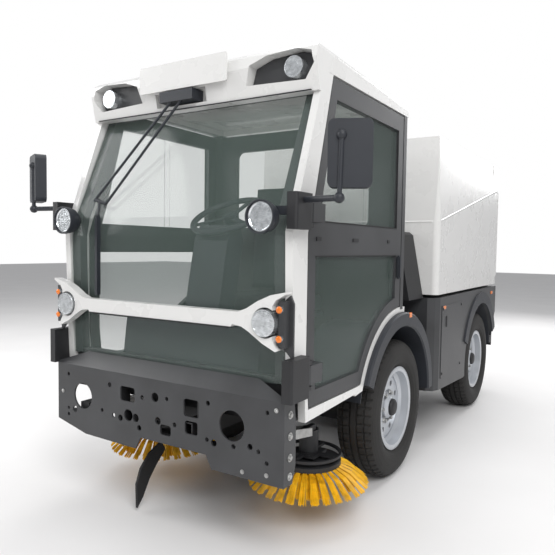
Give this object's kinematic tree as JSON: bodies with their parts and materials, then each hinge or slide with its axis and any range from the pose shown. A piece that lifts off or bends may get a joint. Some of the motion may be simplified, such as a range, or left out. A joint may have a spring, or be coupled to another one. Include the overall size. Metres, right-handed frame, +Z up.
{
  "type": "compact street sweeper",
  "caption": "Compact street sweeper: glazed cab, drilled front tool plate, lifting side brushes, suction nozzle and a tipping waste hopper with a rear door.",
  "frame": {"origin": "on the ground under the middle of the whole vehicle", "axes": "+Z up, the vehicle faces -Y, its left side is +X"},
  "size_m": [1.8598, 3.48, 2.0179],
  "materials": {
    "tyre": "matt",
    "rim_silver": "satin",
    "chassis_black": "satin",
    "arm_steel": "satin",
    "anthracite": "satin",
    "white_paint": "gloss",
    "glass": "clear",
    "black_plastic": "grained",
    "bristle": "matt",
    "rubber": "matt",
    "lens": "gloss",
    "seat_fabric": "woven"
  },
  "bodies": {
    "knuckle_left": {"knuckle_left": "chassis_black"},
    "front_wheel_left": {"front_tyre_left": "tyre", "front_rim_left": "rim_silver"},
    "rear_wheel_left": {"rear_tyre_left": "tyre", "rear_rim_left": "rim_silver"},
    "door_left": {"door_frame_left": "anthracite", "door_glass_left": "glass"},
    "brush_swing_left": {"swing_block_left": "chassis_black"},
    "brush_arm_left": {"lift_arm_left": "arm_steel"},
    "brush_carrier_left": {"brush_head_left": "chassis_black"},
    "side_brush_left": {"brush_left": "bristle"},
    "knuckle_right": {"knuckle_right": "chassis_black"},
    "front_wheel_right": {"front_tyre_right": "tyre", "front_rim_right": "rim_silver"},
    "rear_wheel_right": {"rear_tyre_right": "tyre", "rear_rim_right": "rim_silver"},
    "door_right": {"door_frame_right": "anthracite", "door_glass_right": "glass"},
    "brush_swing_right": {"swing_block_right": "chassis_black"},
    "brush_arm_right": {"lift_arm_right": "arm_steel"},
    "brush_carrier_right": {"brush_head_right": "chassis_black"},
    "side_brush_right": {"brush_right": "bristle"},
    "hopper": {"hopper_body": "white_paint"},
    "hopper_rear_door": {"hopper_door": "white_paint"},
    "chassis": {"brush_beam": "chassis_black", "cab_floor": "chassis_black", "cab_glass": "glass", "cab_pillars": "anthracite", "cab_rear_wall": "anthracite", "cab_roof": "white_paint", "chassis_rails": "chassis_black", "console": "black_plastic", "cross_members": "chassis_black", "deck": "anthracite", "deflector_flap": "rubber", "driver_seat": "black_plastic", "engine_block": "anthracite", "engine_cowl": "chassis_black", "front_axle_beam": "chassis_black", "hinge_covers": "chassis_black", "lamp_bar": "white_paint", "lamp_panels": "anthracite", "lamps": "lens", "mirrors": "black_plastic", "number_plate": "white_paint", "rear_axle_beam": "chassis_black", "rear_bumper": "chassis_black", "rear_panel": "anthracite", "seat_back": "seat_fabric", "seat_cushion": "seat_fabric", "side_frames": "white_paint", "side_panels": "anthracite", "steering_wheel": "black_plastic", "suction_nozzle": "chassis_black", "tool_plate": "anthracite", "wheel_flares": "black_plastic", "wheelhouses": "black_plastic", "wiper": "black_plastic", "work_lamps": "black_plastic"}
  },
  "joints": [
    {"name": "steer_left", "type": "hinge", "parent": "chassis", "child": "knuckle_left", "pos_m": [0.455, -0.525, 0.364], "axis": [0, 0, 1], "range_deg": [-30, 30]},
    {"name": "front_wheel_left_spin", "type": "hinge", "parent": "knuckle_left", "child": "front_wheel_left", "pos_m": [0.53, -0.525, 0.364], "axis": [1, 0, 0], "continuous": true},
    {"name": "rear_wheel_left_spin", "type": "hinge", "parent": "chassis", "child": "rear_wheel_left", "pos_m": [0.53, 1.165, 0.364], "axis": [1, 0, 0], "continuous": true},
    {"name": "door_left_hinge", "type": "hinge", "parent": "chassis", "child": "door_left", "pos_m": [0.65, -1.555, 1], "axis": [0, 0, -1], "range_deg": [0, 75]},
    {"name": "brush_swing_left", "type": "hinge", "parent": "chassis", "child": "brush_swing_left", "pos_m": [0.47, -1.587, 0.43], "axis": [0, 0, -1], "range_deg": [0, 20]},
    {"name": "brush_lift_left", "type": "hinge", "parent": "brush_swing_left", "child": "brush_arm_left", "pos_m": [0.47, -1.525, 0.43], "axis": [-1, 0, 0], "range_deg": [0, 24]},
    {"name": "brush_level_left", "type": "hinge", "parent": "brush_arm_left", "child": "brush_carrier_left", "pos_m": [0.47, -1.255, 0.4], "axis": [-1, 0, 0], "range_deg": [-24, 0]},
    {"name": "brush_spin_left", "type": "hinge", "parent": "brush_carrier_left", "child": "side_brush_left", "pos_m": [0.447, -1.175, 0.25], "axis": [0, 0, 1], "continuous": true},
    {"name": "steer_right", "type": "hinge", "parent": "chassis", "child": "knuckle_right", "pos_m": [-0.455, -0.525, 0.364], "axis": [0, 0, 1], "range_deg": [-30, 30]},
    {"name": "front_wheel_right_spin", "type": "hinge", "parent": "knuckle_right", "child": "front_wheel_right", "pos_m": [-0.53, -0.525, 0.364], "axis": [1, 0, 0], "continuous": true},
    {"name": "rear_wheel_right_spin", "type": "hinge", "parent": "chassis", "child": "rear_wheel_right", "pos_m": [-0.53, 1.165, 0.364], "axis": [1, 0, 0], "continuous": true},
    {"name": "door_right_hinge", "type": "hinge", "parent": "chassis", "child": "door_right", "pos_m": [-0.65, -1.555, 1], "axis": [0, 0, 1], "range_deg": [0, 75]},
    {"name": "brush_swing_right", "type": "hinge", "parent": "chassis", "child": "brush_swing_right", "pos_m": [-0.47, -1.587, 0.43], "axis": [0, 0, 1], "range_deg": [0, 20]},
    {"name": "brush_lift_right", "type": "hinge", "parent": "brush_swing_right", "child": "brush_arm_right", "pos_m": [-0.47, -1.525, 0.43], "axis": [-1, 0, 0], "range_deg": [0, 24]},
    {"name": "brush_level_right", "type": "hinge", "parent": "brush_arm_right", "child": "brush_carrier_right", "pos_m": [-0.47, -1.255, 0.4], "axis": [-1, 0, 0], "range_deg": [-24, 0]},
    {"name": "brush_spin_right", "type": "hinge", "parent": "brush_carrier_right", "child": "side_brush_right", "pos_m": [-0.447, -1.175, 0.25], "axis": [0, 0, 1], "continuous": true},
    {"name": "hopper_tip", "type": "hinge", "parent": "chassis", "child": "hopper", "pos_m": [0, 1.65, 0.965], "axis": [-1, 0, 0], "range_deg": [0, 50]},
    {"name": "hopper_door_lift", "type": "hinge", "parent": "hopper", "child": "hopper_rear_door", "pos_m": [0, 1.678, 1.872], "axis": [1, 0, 0], "range_deg": [0, 80]}
  ],
  "couplings": [
    {"joint": "steer_right", "follows": "steer_left", "ratio": 1},
    {"joint": "brush_level_left", "follows": "brush_lift_left", "ratio": -1},
    {"joint": "brush_level_right", "follows": "brush_lift_right", "ratio": -1}
  ]
}
